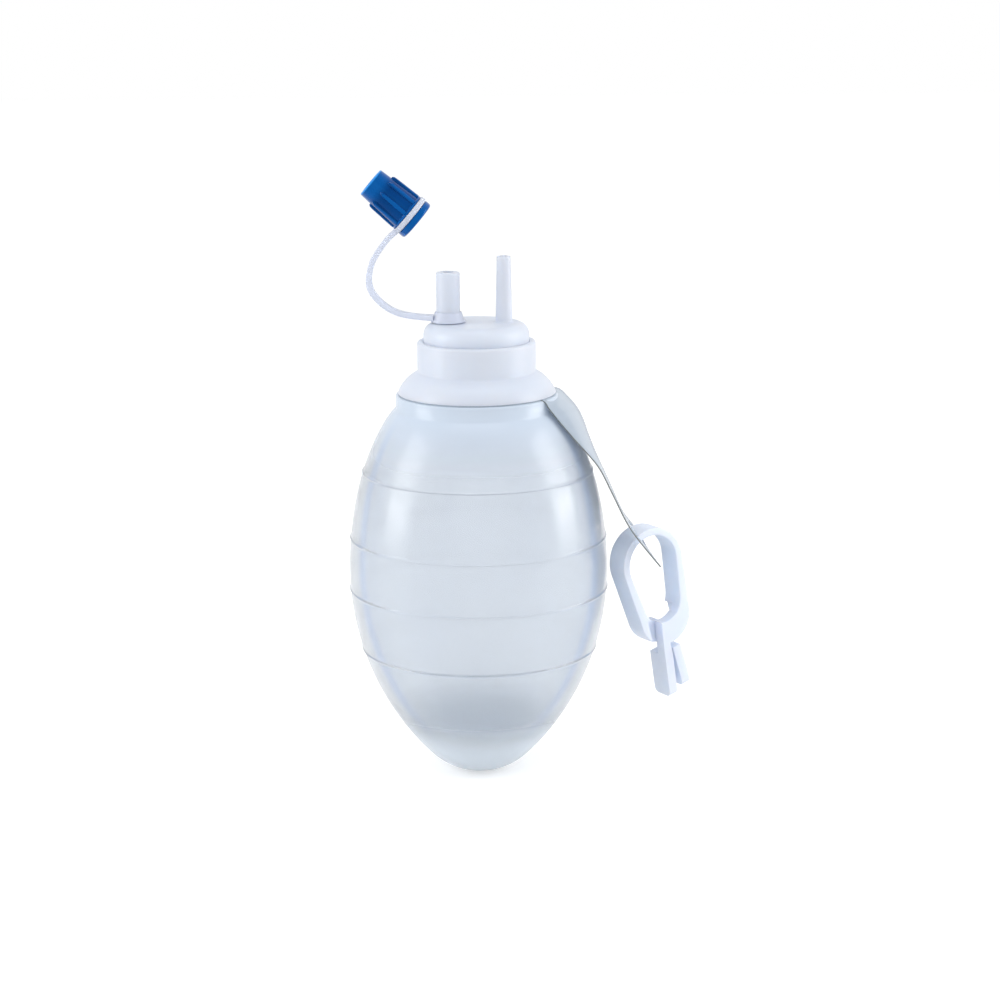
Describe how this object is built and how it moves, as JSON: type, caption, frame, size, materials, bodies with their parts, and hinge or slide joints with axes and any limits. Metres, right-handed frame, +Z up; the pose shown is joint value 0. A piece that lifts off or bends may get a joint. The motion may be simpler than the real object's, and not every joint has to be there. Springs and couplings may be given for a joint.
{
  "type": "wound drainage bulb",
  "caption": "Clear egg-shaped squeeze bulb for wound drainage: frosted neck with an emptying spout and drain inlet, ribbed blue cap on a tether, film strap and garment clip.",
  "frame": {"origin": "on the bulb's axis at the foot of the neck collar's straight wall", "axes": "+Z up along the bulb's axis towards the ports, +X towards the film strap and clip, -X towards the cap, -Y towards the viewer"},
  "size_m": [0.0893, 0.0673, 0.1581],
  "materials": {
    "silicone": "clear glossy silicone",
    "frosted_silicone": "milky satin silicone",
    "frosted_plastic": "milky translucent moulded plastic",
    "tether_plastic": "soft translucent plastic",
    "cap_blue": "glossy translucent blue",
    "film": "clear film",
    "clip_plastic": "pale blue-white moulded plastic"
  },
  "bodies": {
    "reservoir": {"bulb": "silicone", "neck_fitting": "frosted_plastic", "port_insert": "frosted_plastic", "inlet_valve": "frosted_silicone", "hang_strap": "film"},
    "tether_base": {"tether_spout_end": "tether_plastic"},
    "tether_arm": {"tether_cap_end": "tether_plastic"},
    "cap_body": {"cap": "cap_blue"},
    "clip_body": {"clip": "clip_plastic"}
  },
  "joints": [
    {"name": "tether_swivel", "type": "hinge", "parent": "reservoir", "child": "tether_base", "pos_m": [-0.0071, 0, 0.0136], "axis": [0, 0, 1], "range_deg": [-135, 135]},
    {"name": "cap_swing", "type": "hinge", "parent": "tether_base", "child": "tether_arm", "pos_m": [-0.02707, 0, 0.02227], "axis": [0, 1, 0], "range_deg": [-25, 49.3], "stiffness_Nm_per_rad": 0.005},
    {"name": "cap_spin", "type": "hinge", "parent": "tether_arm", "child": "cap_body", "pos_m": [-0.01452, 0, 0.03782], "axis": [-0.7581, 0, 0.6521], "continuous": true},
    {"name": "clip_swing", "type": "hinge", "parent": "reservoir", "child": "clip_body", "pos_m": [0.04156, -0.0031, -0.0426], "axis": [0, -1, 0], "range_deg": [0, 30]}
  ]
}
